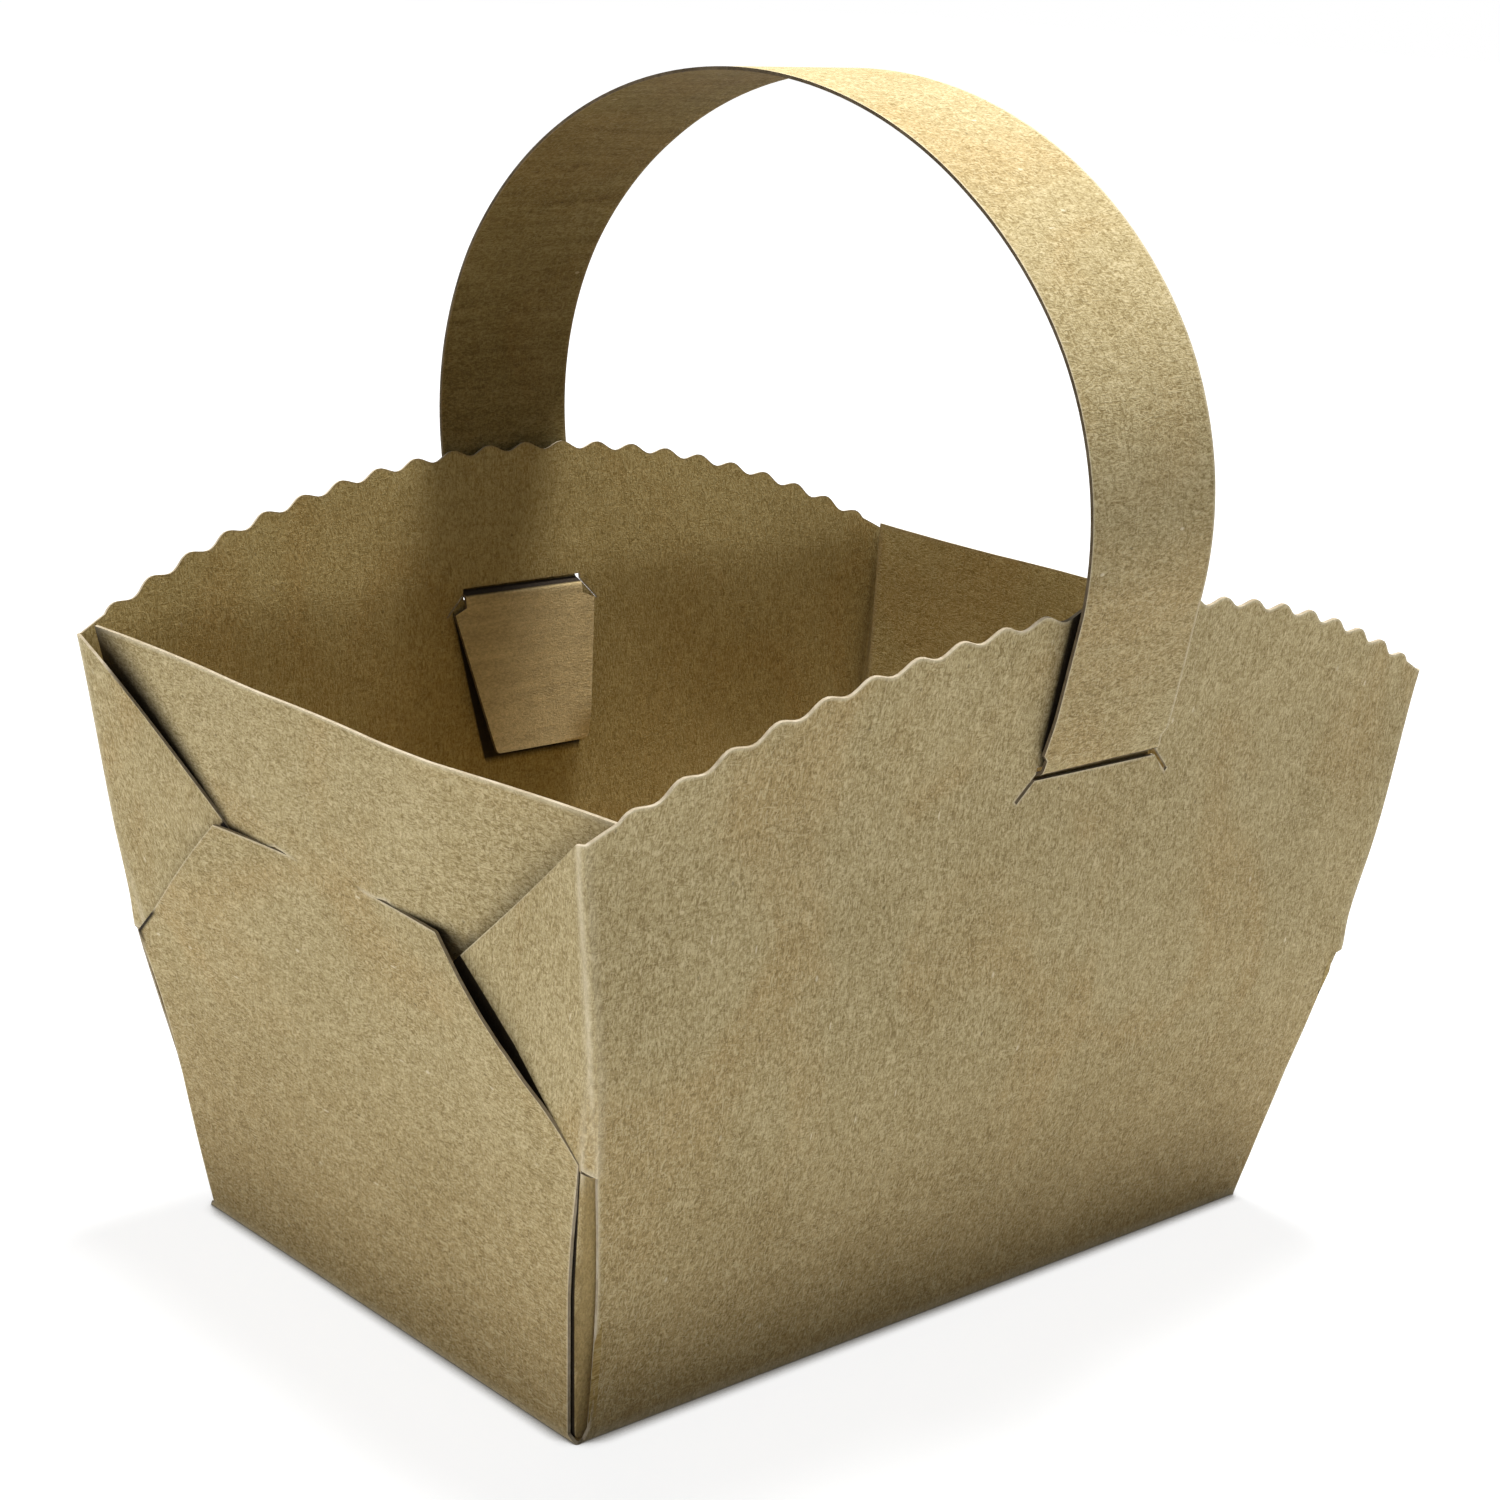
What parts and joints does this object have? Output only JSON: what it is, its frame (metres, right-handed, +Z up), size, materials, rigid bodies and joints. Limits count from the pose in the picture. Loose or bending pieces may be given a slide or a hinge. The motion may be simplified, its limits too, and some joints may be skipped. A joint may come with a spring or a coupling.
{
  "type": "paper treat basket",
  "caption": "Small kraft paperboard basket: a folded flared tray with scalloped arched side walls, tucked corner tabs and a strap handle threaded through wall slots.",
  "frame": {"origin": "centre of the tray's underside, on the table", "axes": "+X along the tray's long walls, +Y across it towards a long wall, +Z up to the top of the strap"},
  "size_m": [0.1336, 0.1066, 0.1386],
  "materials": {
    "kraft_tray": "matte uncoated kraft",
    "kraft_strap": "matte uncoated kraft"
  },
  "bodies": {
    "root": {"basket_tray": "kraft_tray", "handle_strap": "kraft_strap"}
  },
  "joints": []
}
